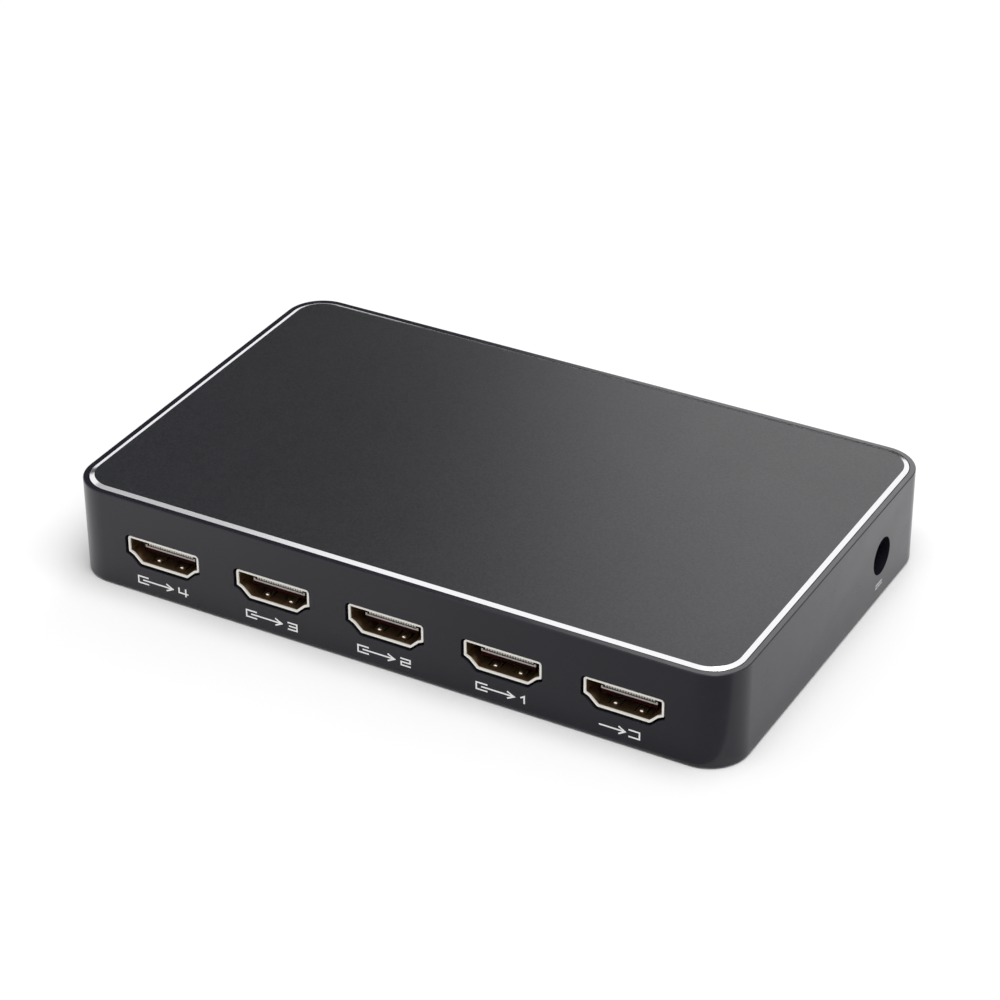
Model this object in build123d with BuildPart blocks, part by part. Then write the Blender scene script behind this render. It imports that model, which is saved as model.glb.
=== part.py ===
from build123d import *
from math import atan2, degrees
import os

os.makedirs("parts", exist_ok=True)

# A video splitter: a flat black box that copies one video input to four outputs.
# It stands on its feet. X runs along the row of sockets, the sockets face -Y and Z is up.
# The origin is on the ground under the middle of the case. All sizes are in millimetres.

# Case
case_width = 132.0
case_depth = 82.0
wall_height = 18.6
corner_radius = 7.5
wall_thickness = 2.0
deck_thickness = 1.6
foot_proud = 0.4
rim_chamfer = 0.15
base_chamfer = 0.1

# Top plate, let into the rim
rim_width = 1.05
plate_gap = 0.16
plate_proud = 0.3
plate_thickness = 1.2
bevel_width = 0.89
bevel_height = 0.3
adhesive_thickness = 0.2
adhesive_margin = 2.0

# Bottom cover, let into the wall's lower edge
cover_thickness = 1.8
cover_gap = 0.1
ledge_width = 0.8

# Screws that clamp the cover and the board to the posts in the housing
post_inset = 8.0
post_width = 6.0
cover_screw_diameter = 2.4
cover_screw_length = 10.0
cover_screw_head_diameter = 4.6
cover_screw_head_height = 1.3
screw_hole_clearance = 0.2
press_clearance = 0.02
blind_hole_spare = 1.0

# Rubber feet, thin pads stuck to the cover
foot_diameter = 9.0
foot_inset = 16.0

# Video sockets
socket_count = 5
socket_row_inset = 20.0
socket_top = 11.0
shell_width = 15.0
shell_height = 5.35
shell_foot_width = 9.85
shell_skirt_height = 2.03
shell_depth = 11.0
shell_sheet = 0.4
shell_corner = 0.6
shell_setback = 0.4
cutout_clearance = 0.38
shoulder_out_share = 0.61
shoulder_up_share = 0.76

# Spring fingers of a shell, cut free on three sides in its floor
finger_spacing = 4.9
finger_width = 1.8
finger_length = 4.2
finger_start = 1.4
finger_slit = 0.25
finger_reach = 0.45
finger_crest_share = 0.7

# Board legs of a shell
leg_width = 1.3
leg_depth = 3.6
leg_spacing = 5.4
leg_tail = 1.0
leg_clearance = 0.25
tail_space = 1.8
tail_door_height = 1.2

# Insulator and its tongue
tongue_width = 10.6
tongue_thickness = 1.6
tongue_height = 3.3
tongue_setback = 2.1
nose_thickness = 0.2
window_height = 0.6
window_width = 9.9
block_depth = 3.4
block_clearance = 0.08

# Contacts of a socket
contact_count = 19
contact_pitch = 0.5
contact_width = 0.34
contact_sheet = 0.2
contact_leg_gap = 0.5

# Circuit board
board_thickness = 1.6
board_edge_gap = 0.4

# Power jack behind the round hole in the right wall
power_hole_diameter = 7.2
power_hole_height = 8.6
power_hole_inset = 20.0
jack_gap = 0.1
jack_length = 13.0
jack_width = 9.0
jack_height = 8.6
jack_bore_diameter = 6.3
jack_bore_depth = 9.6
jack_shoulder_width = 1.2
jack_shoulder_thickness = 1.5
jack_shoulder_setback = 2.5
jack_notch_clearance = 0.2
jack_pin_diameter = 2.0
jack_pin_setback = 1.8
terminal_sheet = 0.4
terminal_width = 2.0
terminal_step = 1.4
terminal_tail = 1.0
terminal_clearance = 0.3
spring_sheet = 0.3
spring_start = 3.2
spring_reach = 0.5
spring_slot_spare = 0.25
spring_crest_share = 0.45

# Splitter chip with its thermal pad and heat sink
chip_width = 14.0
chip_thickness = 1.4
chip_x_share = -0.13
chip_y_share = 0.1
chip_corner_chamfer = 0.4
pad_width = 12.0
pad_thickness = 0.5
sink_width = 28.0
sink_base = 1.6
sink_fin_count = 8
sink_fin_height = 4.5
sink_fin_thickness = 1.0

# Smaller components, as width, depth and height
crystal_size = (4.6, 11.2, 3.4)
crystal_corner = 1.4
memory_size = (3.9, 4.9, 1.5)
inductor_size = (7.2, 7.2, 4.0)
inductor_corner = 1.5
regulator_size = (6.5, 3.5, 1.6)
regulator_tab_width = 3.0
regulator_tab_length = 1.6
regulator_tab_sheet = 0.3
can_diameter = 6.3
can_height = 5.6
can_base = 6.6
can_base_thickness = 0.8
surge_array_size = (2.5, 1.0, 0.6)
resistor_size = (3.2, 1.6, 0.5)
capacitor_size = (1.6, 0.8, 0.8)
row_behind_socket = 3.0
row_spacing = 2.6

# Places of the smaller components, as shares of the board's half width and half depth
crystal_shares = [(0.2, -0.12)]
memory_shares = [(0.33, 0.14)]
inductor_shares = [(0.62, 0.02)]
regulator_shares = [(0.42, 0.42), (0.6, -0.3)]
can_shares = [(0.28, 0.78)]
capacitor_shares = [
    (-0.5, 0.35),
    (-0.5, 0.2),
    (-0.5, 0.05),
    (-0.5, -0.1),
    (0.46, 0.05),
    (0.46, -0.08),
    (0.5, 0.6),
    (0.5, 0.7),
    (-0.2, 0.65),
    (-0.05, 0.65),
    (0.05, 0.75),
    (-0.65, 0.2),
]

# Every cut runs this far past the surface it opens
overrun = 1.0

# Levels above the ground
wall_bottom = foot_proud
rim_top = wall_bottom + wall_height
plate_top = rim_top + plate_proud
plate_bottom = plate_top - plate_thickness
deck_top = plate_bottom - adhesive_thickness
deck_bottom = deck_top - deck_thickness
cover_top = wall_bottom + cover_thickness
board_top = wall_bottom + socket_top - shell_height
board_bottom = board_top - board_thickness
power_axis_height = wall_bottom + power_hole_height

# Places seen from above
front_face = -case_depth / 2
right_face = case_width / 2
power_hole_place = case_depth / 2 - power_hole_inset
mouth_y = front_face + shell_setback
shell_rear_y = mouth_y + shell_depth
board_width = case_width - 2 * (wall_thickness + board_edge_gap)
board_depth = case_depth - 2 * (wall_thickness + board_edge_gap)
socket_pitch = (case_width - 2 * socket_row_inset) / (socket_count - 1)
socket_places = [(index - (socket_count - 1) / 2) * socket_pitch for index in range(socket_count)]
socket_names = [f"output_{number}" for number in range(socket_count - 1, 0, -1)] + ["input"]
post_x = case_width / 2 - post_inset
post_y = case_depth / 2 - post_inset
post_places = [(x, y) for x in (-post_x, post_x) for y in (-post_y, post_y)]
foot_x = case_width / 2 - foot_inset
foot_y = case_depth / 2 - foot_inset
foot_places = [(x, y) for x in (-foot_x, foot_x) for y in (-foot_y, foot_y)]
jack_front_x = right_face - wall_thickness - jack_gap
jack_rear_x = jack_front_x - jack_length
chip_x = chip_x_share * board_width / 2
chip_y = chip_y_share * board_depth / 2
leg_y = [mouth_y + leg_depth, mouth_y + leg_depth + leg_spacing]
terminal_x = jack_rear_x - terminal_step


def keep(part, name):
    """Name a finished piece and write it."""
    part.label = name
    export_step(part, f"parts/{name}.step")


def case_outline(inset):
    """The case seen from above, drawn in by the inset on every side."""
    with BuildSketch() as outline:
        RectangleRounded(case_width - 2 * inset, case_depth - 2 * inset, corner_radius - inset)
    return outline.sketch


def socket_outline(grow, corner=shell_corner):
    """A socket seen from the front, standing on the board with its wide side up."""
    half_foot = shell_foot_width / 2
    half_width = shell_width / 2
    shoulder_x = half_foot + shoulder_out_share * (half_width - half_foot)
    shoulder_height = shoulder_up_share * shell_skirt_height
    right = [
        (half_foot, 0),
        (shoulder_x, shoulder_height),
        (half_width, shell_skirt_height),
        (half_width, shell_height),
    ]
    left = [(-x, height) for x, height in reversed(right)]
    with BuildSketch() as outline:
        with BuildLine():
            Polyline(*right, *left, close=True)
        make_face()
        if corner > 0:
            corners = outline.vertices().group_by(Axis.Y)
            fillet(corners[0] + corners[-1], corner)
        if grow != 0:
            offset(amount=grow, kind=Kind.INTERSECTION, mode=Mode.REPLACE)
    return outline.sketch


def strip(points, thickness):
    """The side view of a bent sheet whose middle follows the points."""
    with BuildSketch() as section:
        with BuildLine():
            Polyline(*points)
        trace(line_width=thickness)
    return section.sketch


def wall_plane(x):
    """The front of the case at a socket: heights count from the board."""
    return Plane(origin=(x, front_face, board_top), x_dir=(1, 0, 0), z_dir=(0, -1, 0))


def mouth_plane(depth):
    """A section of the middle socket at a depth behind its mouth, with heights from the board."""
    return Plane(origin=(0, mouth_y + depth, board_top), x_dir=(1, 0, 0), z_dir=(0, -1, 0))


def side_plane(x):
    """A side view of a socket: depths count from its mouth, heights from the board."""
    return Plane(origin=(x, mouth_y, board_top), x_dir=(0, 1, 0), z_dir=(1, 0, 0))


def jack_plane(depth):
    """The power jack seen from the right, at a depth behind its front, round its axis."""
    origin = (jack_front_x - depth, power_hole_place, power_axis_height)
    return Plane(origin=origin, x_dir=(0, 1, 0), z_dir=(1, 0, 0))


# Housing

with BuildPart() as housing:
    with BuildSketch(Plane.XY.offset(wall_bottom)):
        add(case_outline(0))
    extrude(amount=wall_height)
    chamfer(housing.faces().sort_by(Axis.Z)[-1].edges(), rim_chamfer)
    chamfer(housing.faces().sort_by(Axis.Z)[0].edges(), base_chamfer)

    # Pocket for the top plate, above the deck
    with BuildSketch(Plane.XY.offset(deck_top)):
        add(case_outline(rim_width))
    extrude(amount=plate_thickness + adhesive_thickness + overrun, mode=Mode.SUBTRACT)

    # Inside, below the deck, and the wider rebate for the cover
    with BuildSketch(Plane.XY.offset(deck_bottom)):
        add(case_outline(wall_thickness))
    extrude(amount=wall_bottom - deck_bottom - overrun, mode=Mode.SUBTRACT)
    with BuildSketch(Plane.XY.offset(cover_top)):
        add(case_outline(wall_thickness - ledge_width))
    extrude(amount=-cover_thickness - overrun, mode=Mode.SUBTRACT)

    # Screw posts from the deck down to the board
    with BuildSketch(Plane.XY.offset(board_top)):
        with Locations(*post_places):
            Rectangle(post_width, post_width)
    extrude(amount=deck_bottom - board_top)
    with BuildSketch(Plane.XY.offset(board_top)):
        with Locations(*post_places):
            Circle(cover_screw_diameter / 2 + press_clearance)
    extrude(amount=wall_bottom + cover_screw_length + blind_hole_spare - board_top, mode=Mode.SUBTRACT)

    # Openings for the sockets and for the power plug
    for place in socket_places:
        with BuildSketch(wall_plane(place)):
            add(socket_outline(cutout_clearance))
        extrude(amount=wall_thickness + overrun, both=True, mode=Mode.SUBTRACT)
    with BuildSketch(jack_plane(-jack_gap - wall_thickness)):
        Circle(power_hole_diameter / 2)
    extrude(amount=wall_thickness + overrun, both=True, mode=Mode.SUBTRACT)
keep(housing.part, "housing")

# Top plate and its adhesive

plate_inset = rim_width + plate_gap
adhesive_inset = plate_inset + adhesive_margin
with BuildPart() as top_plate:
    with BuildSketch(Plane.XY.offset(plate_bottom)):
        add(case_outline(plate_inset))
    extrude(amount=plate_thickness - bevel_height)
    with BuildSketch(Plane.XY.offset(plate_top - bevel_height)):
        add(case_outline(plate_inset))
    with BuildSketch(Plane.XY.offset(plate_top)):
        add(case_outline(plate_inset + bevel_width))
    loft(ruled=True)
keep(top_plate.part, "top_plate")

with BuildPart() as plate_adhesive:
    with BuildSketch(Plane.XY.offset(deck_top)):
        Rectangle(case_width - 2 * adhesive_inset, case_depth - 2 * adhesive_inset)
    extrude(amount=adhesive_thickness)
keep(plate_adhesive.part, "plate_adhesive")

# Bottom cover

head_step = (cover_screw_head_diameter - cover_screw_diameter) / 2
head_angle = degrees(atan2(head_step, cover_screw_head_height))
with BuildPart() as bottom_cover:
    with BuildSketch(Plane.XY.offset(wall_bottom)):
        add(case_outline(wall_thickness - ledge_width + cover_gap))
    extrude(amount=cover_thickness)

    # Pads that carry the board, and countersunk screw holes through them
    with BuildSketch(Plane.XY.offset(cover_top)):
        with Locations(*post_places):
            Rectangle(post_width, post_width)
    extrude(amount=board_bottom - cover_top)
    with BuildSketch(Plane.XY.offset(board_bottom)):
        with Locations(*post_places):
            Circle(cover_screw_diameter / 2 + screw_hole_clearance)
    extrude(amount=wall_bottom - board_bottom, mode=Mode.SUBTRACT)
    with BuildSketch(Plane.XY.offset(wall_bottom)):
        with Locations(*post_places):
            Circle(cover_screw_head_diameter / 2)
    extrude(amount=cover_screw_head_height, taper=head_angle, mode=Mode.SUBTRACT)
keep(bottom_cover.part, "bottom_cover")

with BuildPart() as rubber_feet:
    with BuildSketch(Plane.XY):
        with Locations(*foot_places):
            Circle(foot_diameter / 2)
    extrude(amount=foot_proud)
keep(rubber_feet.part, "rubber_feet")

# Cover screws, driven in from below

with BuildPart() as cover_screws:
    with BuildSketch(Plane.XY.offset(wall_bottom)):
        with Locations(*post_places):
            Circle(cover_screw_head_diameter / 2)
    extrude(amount=cover_screw_head_height, taper=head_angle)
    with BuildSketch(Plane.XY.offset(wall_bottom)):
        with Locations(*post_places):
            Circle(cover_screw_diameter / 2)
    extrude(amount=cover_screw_length)
keep(cover_screws.part, "cover_screws")

# Circuit board

jack_notch_width = jack_width + 2 * jack_notch_clearance
jack_notch_end = jack_rear_x - jack_notch_clearance
shell_leg_x = shell_width / 2 - shell_sheet / 2
spring_offset = jack_bore_diameter / 2 + spring_sheet / 2
with BuildPart() as circuit_board:
    with BuildSketch(Plane.XY.offset(board_bottom)):
        RectangleRounded(board_width, board_depth, corner_radius - wall_thickness - board_edge_gap)
        with Locations(((board_width / 2 + jack_notch_end) / 2, power_hole_place)):
            Rectangle(board_width / 2 - jack_notch_end, jack_notch_width, mode=Mode.SUBTRACT)
        with Locations(*post_places):
            Circle(cover_screw_diameter / 2 + screw_hole_clearance, mode=Mode.SUBTRACT)

        # Slots for the legs of the shells
        shell_leg_places = [
            (place + side * shell_leg_x, y) for place in socket_places for side in (-1, 1) for y in leg_y
        ]
        with Locations(*shell_leg_places):
            Rectangle(
                shell_sheet + 2 * leg_clearance,
                leg_width + 2 * leg_clearance,
                mode=Mode.SUBTRACT,
            )

        # Slots for the terminals of the power jack
        with Locations((terminal_x, power_hole_place)):
            Rectangle(
                terminal_sheet + 2 * terminal_clearance,
                terminal_width + 2 * terminal_clearance,
                mode=Mode.SUBTRACT,
            )
        with Locations(*[(terminal_x, power_hole_place + side * spring_offset) for side in (-1, 1)]):
            Rectangle(
                2 * (terminal_sheet + terminal_clearance),
                spring_sheet + 2 * terminal_clearance,
                mode=Mode.SUBTRACT,
            )
    extrude(amount=board_thickness)
keep(circuit_board.part, "circuit_board")

# Video sockets

tongue_low = tongue_height - tongue_thickness
block_front = shell_depth - tail_space - block_depth
block_rear = shell_depth - tail_space
contact_drop = block_rear + contact_leg_gap
contact_half = contact_sheet / 2
tip_depth = tongue_setback + nose_thickness + contact_half


def contact_points(upper):
    """Middle of a contact from its tip in the tongue's nose to its end on the board."""
    if upper:
        tip_height = tongue_height - window_height
        run_height = tongue_height - contact_half
    else:
        tip_height = tongue_height
        run_height = tongue_low + contact_half
    return [
        (tip_depth, tip_height),
        (tip_depth, run_height),
        (contact_drop, run_height),
        (contact_drop, 0),
    ]


# One socket is made at the middle of the row. Its shell is stamped: spring fingers in its
# floor, a closed back and legs at its sides.
with BuildPart() as middle_shell:
    with BuildSketch(mouth_plane(0)):
        add(socket_outline(0))
    extrude(amount=-shell_depth)
    with BuildSketch(mouth_plane(0)):
        add(socket_outline(-shell_sheet))
    extrude(amount=shell_sheet - shell_depth, mode=Mode.SUBTRACT)

    # The floor ends in front of the contacts' legs
    with BuildSketch(side_plane(0)):
        with Locations((shell_depth - tail_space / 2, tail_door_height / 2)):
            Rectangle(tail_space, tail_door_height)
    extrude(amount=shell_width, both=True, mode=Mode.SUBTRACT)

    # Spring fingers: a slot in the sheet, and a bent finger that reaches inside
    slot_length = finger_length + finger_slit
    finger_crest = finger_start + finger_crest_share * finger_length
    for finger_x in (-finger_spacing / 2, finger_spacing / 2):
        with BuildSketch(side_plane(finger_x)):
            with Locations((finger_start + slot_length / 2, shell_sheet / 2)):
                Rectangle(slot_length, shell_sheet)
        extrude(amount=finger_width / 2 + finger_slit, both=True, mode=Mode.SUBTRACT)
        bend = [
            (finger_start - shell_sheet / 2, shell_sheet / 2),
            (finger_start, shell_sheet / 2),
            (finger_crest, shell_sheet / 2 + finger_reach),
            (finger_start + finger_length, (shell_sheet + finger_reach) / 2),
        ]
        with BuildSketch(side_plane(finger_x)):
            add(strip(bend, shell_sheet / 2))
        extrude(amount=finger_width / 2, both=True)

    # Board legs, straight down from the sides
    leg_height = shell_skirt_height + shell_corner + board_thickness + leg_tail
    leg_middle = leg_height / 2 - board_thickness - leg_tail
    for side in (-1, 1):
        with BuildSketch(side_plane(side * shell_leg_x)):
            with Locations(*[(y - mouth_y, leg_middle) for y in leg_y]):
                Rectangle(leg_width, leg_height)
        extrude(amount=shell_sheet / 2, both=True)

# Contacts, an upper and a lower row that take turns, with their legs in one line
with BuildPart() as middle_contacts:
    for index in range(contact_count):
        with BuildSketch(side_plane((index - (contact_count - 1) / 2) * contact_pitch)):
            add(strip(contact_points(upper=index % 2 == 0), contact_sheet))
        extrude(amount=contact_width / 2, both=True)

# Insulator: a moulded block that fills the shell's rear, with the tongue in front of it
with BuildPart() as middle_insulator:
    with BuildSketch(mouth_plane(block_front)):
        add(socket_outline(-shell_sheet - block_clearance, corner=0))
    extrude(amount=-block_depth)
    with BuildSketch(side_plane(0)):
        with Locations(((tongue_setback + block_front) / 2, tongue_height - tongue_thickness / 2)):
            Rectangle(block_front - tongue_setback, tongue_thickness)
    extrude(amount=tongue_width / 2, both=True)

    # Window along the tongue's nose that shows the contacts' tips
    with BuildSketch(side_plane(0)):
        with Locations((tongue_setback + nose_thickness / 2, tongue_height - window_height / 2)):
            Rectangle(nose_thickness, window_height)
    extrude(amount=window_width / 2, both=True, mode=Mode.SUBTRACT)

    # Both rows of contacts lie in one recess, round the tongue's core and through the block
    recess = [
        (block_rear + overrun, tongue_height - contact_half),
        (tip_depth, tongue_height - contact_half),
        (tip_depth, tongue_low + contact_half),
        (block_rear + overrun, tongue_low + contact_half),
    ]
    with BuildSketch(side_plane(0)):
        add(strip(recess, contact_sheet))
    extrude(amount=window_width / 2, both=True, mode=Mode.SUBTRACT)

for place, name in zip(socket_places, socket_names):
    with BuildPart() as socket_shell:
        with Locations((place, 0, 0)):
            add(middle_shell.part)
    keep(socket_shell.part, f"socket_shell_{name}")
    with BuildPart() as socket_insulator:
        with Locations((place, 0, 0)):
            add(middle_insulator.part)
    keep(socket_insulator.part, f"socket_insulator_{name}")
    with BuildPart() as socket_contacts:
        with Locations((place, 0, 0)):
            add(middle_contacts.part)
    keep(socket_contacts.part, f"socket_contacts_{name}")

# Power jack

spring_slot_depth = spring_sheet + 2 * spring_slot_spare
spring_slot_height = terminal_width + 2 * spring_slot_spare
with BuildPart() as jack_body:
    with BuildSketch(jack_plane(0)):
        Rectangle(jack_width, jack_height)
    extrude(amount=-jack_length)

    # Shoulders that rest on the board beside its notch
    with BuildSketch(jack_plane(jack_shoulder_setback)):
        with Locations((0, board_top - power_axis_height + jack_shoulder_thickness / 2)):
            Rectangle(jack_width + 2 * jack_shoulder_width, jack_shoulder_thickness)
    extrude(amount=jack_shoulder_setback - jack_length)

    # Bore for the plug, and a hole through the back wall for the centre pin
    with BuildSketch(jack_plane(0)):
        Circle(jack_bore_diameter / 2)
    extrude(amount=-jack_bore_depth, mode=Mode.SUBTRACT)
    with BuildSketch(jack_plane(0)):
        Circle(jack_pin_diameter / 2 + press_clearance)
    extrude(amount=-jack_length, mode=Mode.SUBTRACT)

    # Slots beside the bore for the spring and the third contact
    with BuildSketch(jack_plane(spring_start - spring_slot_spare)):
        with Locations(*[(side * (spring_offset - spring_reach / 2), 0) for side in (-1, 1)]):
            Rectangle(spring_slot_depth + spring_reach, spring_slot_height)
    extrude(amount=spring_start - spring_slot_spare - jack_length, mode=Mode.SUBTRACT)
keep(jack_body.part, "jack_body")

tail_bottom = board_bottom - terminal_tail
with BuildPart() as jack_pin:
    with BuildSketch(jack_plane(jack_pin_setback)):
        Circle(jack_pin_diameter / 2)
    extrude(amount=jack_pin_setback - jack_length)

    # Terminal: down the back of the body, a step back, and down through the board
    pin_terminal = [
        (jack_rear_x - terminal_sheet / 2, power_axis_height + jack_pin_diameter / 2),
        (jack_rear_x - terminal_sheet / 2, board_top + terminal_sheet),
        (terminal_x, board_top + terminal_sheet),
        (terminal_x, tail_bottom),
    ]
    with BuildSketch(Plane(origin=(0, power_hole_place, 0), x_dir=(1, 0, 0), z_dir=(0, -1, 0))):
        add(strip(pin_terminal, terminal_sheet))
    extrude(amount=terminal_width / 2, both=True)
keep(jack_pin.part, "jack_pin")


def jack_contact(side, reach):
    """Blade beside the bore, bent into it by the reach, with a leg down through the board."""
    line_y = power_hole_place + side * spring_offset
    crest_x = jack_front_x - spring_start - spring_crest_share * (jack_bore_depth - spring_start)
    with BuildPart() as contact:
        with BuildSketch(Plane.XY.offset(power_axis_height)):
            points = [
                (jack_front_x - spring_start, line_y),
                (crest_x, line_y - side * reach),
                (jack_front_x - jack_bore_depth, line_y),
                (terminal_x - terminal_sheet, line_y),
            ]
            add(strip(points, spring_sheet))
        extrude(amount=terminal_width / 2, both=True)
        with BuildSketch(Plane.XY.offset(power_axis_height)):
            with Locations((terminal_x, line_y)):
                Rectangle(2 * terminal_sheet, spring_sheet)
        extrude(amount=tail_bottom - power_axis_height)
    return contact.part


keep(jack_contact(-1, spring_reach), "jack_spring")
keep(jack_contact(1, 0), "jack_switch_contact")

# Splitter chip, thermal pad and heat sink

chip_plane = Plane((chip_x, chip_y, board_top))
with BuildPart(chip_plane) as splitter_chip:
    Box(chip_width, chip_width, chip_thickness, align=(Align.CENTER, Align.CENTER, Align.MIN))
    chamfer(splitter_chip.edges().filter_by(Axis.Z), chip_corner_chamfer)
keep(splitter_chip.part, "splitter_chip")

chip_top = board_top + chip_thickness
with BuildPart(Plane((chip_x, chip_y, chip_top))) as thermal_pad:
    Box(pad_width, pad_width, pad_thickness, align=(Align.CENTER, Align.CENTER, Align.MIN))
keep(thermal_pad.part, "thermal_pad")

fin_pitch = (sink_width - sink_fin_thickness) / (sink_fin_count - 1)
fin_places = [((index - (sink_fin_count - 1) / 2) * fin_pitch, 0) for index in range(sink_fin_count)]
with BuildPart(Plane((chip_x, chip_y, chip_top + pad_thickness))) as heat_sink:
    Box(sink_width, sink_width, sink_base, align=(Align.CENTER, Align.CENTER, Align.MIN))
    with Locations(*fin_places):
        Box(
            sink_fin_thickness,
            sink_width,
            sink_base + sink_fin_height,
            align=(Align.CENTER, Align.CENTER, Align.MIN),
        )
keep(heat_sink.part, "heat_sink")

# Smaller components on the board


def board_points(shares):
    """Places on the board from shares of its half width and half depth."""
    return [(x * board_width / 2, y * board_depth / 2) for x, y in shares]


def board_boxes(places, size):
    """Rectangular components of one size standing on the board."""
    with BuildPart(Plane.XY.offset(board_top)) as boxes:
        with Locations(*places):
            Box(*size, align=(Align.CENTER, Align.CENTER, Align.MIN))
    return boxes.part


row_y = shell_rear_y + row_behind_socket
surge_places = [(place, row_y) for place in socket_places]
resistor_places = [(place, row_y + row_spacing) for place in socket_places]
keep(board_boxes(surge_places, surge_array_size), "surge_arrays")
keep(board_boxes(resistor_places, resistor_size), "series_resistors")
keep(board_boxes(board_points(capacitor_shares), capacitor_size), "chip_capacitors")
keep(board_boxes(board_points(memory_shares), memory_size), "memory_chip")

with BuildPart(Plane.XY.offset(board_top)) as crystal:
    with Locations(*board_points(crystal_shares)):
        Box(*crystal_size, align=(Align.CENTER, Align.CENTER, Align.MIN))
    chamfer(crystal.edges().filter_by(Axis.Z), crystal_corner)
keep(crystal.part, "crystal")

with BuildPart(Plane.XY.offset(board_top)) as power_inductor:
    with Locations(*board_points(inductor_shares)):
        Box(*inductor_size, align=(Align.CENTER, Align.CENTER, Align.MIN))
    chamfer(power_inductor.edges().filter_by(Axis.Z), inductor_corner)
keep(power_inductor.part, "power_inductor")

tab_places = [(x, y + (regulator_size[1] + regulator_tab_length) / 2) for x, y in board_points(regulator_shares)]
tab_size = (regulator_tab_width, regulator_tab_length, regulator_tab_sheet)
with BuildPart(Plane.XY.offset(board_top)) as regulators:
    with Locations(*board_points(regulator_shares)):
        Box(*regulator_size, align=(Align.CENTER, Align.CENTER, Align.MIN))
    with Locations(*tab_places):
        Box(*tab_size, align=(Align.CENTER, Align.CENTER, Align.MIN))
keep(regulators.part, "regulators")

with BuildPart(Plane.XY.offset(board_top)) as storage_capacitor:
    with Locations(*board_points(can_shares)):
        Box(can_base, can_base, can_base_thickness, align=(Align.CENTER, Align.CENTER, Align.MIN))
        Cylinder(can_diameter / 2, can_height, align=(Align.CENTER, Align.CENTER, Align.MIN))
keep(storage_capacitor.part, "storage_capacitor")
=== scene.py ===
"""Looks of a video splitter: a flat black box that copies one video input to four outputs.

Sizes are in metres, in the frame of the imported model: X runs along the row of sockets, the
sockets face -Y, Z is up and the feet stand on Z = 0. Every new piece is worked out as whole
arrays of points, and every finish is a node material on Object coordinates or on an attribute.
"""

import logging
import math
from dataclasses import dataclass
from enum import Enum
from typing import Sequence

import bmesh
import bpy
import numpy as np
from mathutils import Matrix, Vector


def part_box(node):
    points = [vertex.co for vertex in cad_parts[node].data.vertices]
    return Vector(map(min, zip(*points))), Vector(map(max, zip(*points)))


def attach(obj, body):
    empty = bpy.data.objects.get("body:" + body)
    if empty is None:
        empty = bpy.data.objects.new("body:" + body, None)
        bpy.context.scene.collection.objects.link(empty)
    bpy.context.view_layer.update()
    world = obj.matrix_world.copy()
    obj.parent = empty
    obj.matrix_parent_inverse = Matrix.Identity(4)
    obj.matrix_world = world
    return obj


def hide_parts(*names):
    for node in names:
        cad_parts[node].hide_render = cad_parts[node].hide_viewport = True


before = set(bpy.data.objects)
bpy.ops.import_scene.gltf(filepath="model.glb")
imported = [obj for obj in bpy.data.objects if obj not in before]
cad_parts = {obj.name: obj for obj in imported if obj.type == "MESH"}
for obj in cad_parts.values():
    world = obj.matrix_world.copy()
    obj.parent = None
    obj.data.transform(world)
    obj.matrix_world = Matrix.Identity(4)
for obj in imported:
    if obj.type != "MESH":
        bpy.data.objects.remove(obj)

LOG = logging.getLogger("splitter")
MM = 0.001
BODY = "root"
SOCKETS = ("output_4", "output_3", "output_2", "output_1", "input")

# Points nearer than the first are one point; edges shorter than the second are closed up.
SAME_POINT = 1e-7
SAME_EDGE = 2e-6

# Angles in degrees: faces flatter than the first are joined, edges sharper than the second are
# rounded, and edges sharper than the third stay sharp in the shading.
FLAT_ANGLE = 0.8
EDGE_ANGLE = 28.0
SHADE_ANGLE = 30.0

# Roughness of the floor and the cards.
MATT = 0.9

# Where the screws and the feet stand, as signs of X and Y.
FOUR_CORNERS = ((-1, -1), (-1, 1), (1, -1), (1, 1))

Array = np.ndarray
Colour = tuple[float, float, float]
Point = tuple[float, float, float]
Socket = bpy.types.NodeSocket
Value = float | Colour | Socket


# ---- Mesh work


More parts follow.
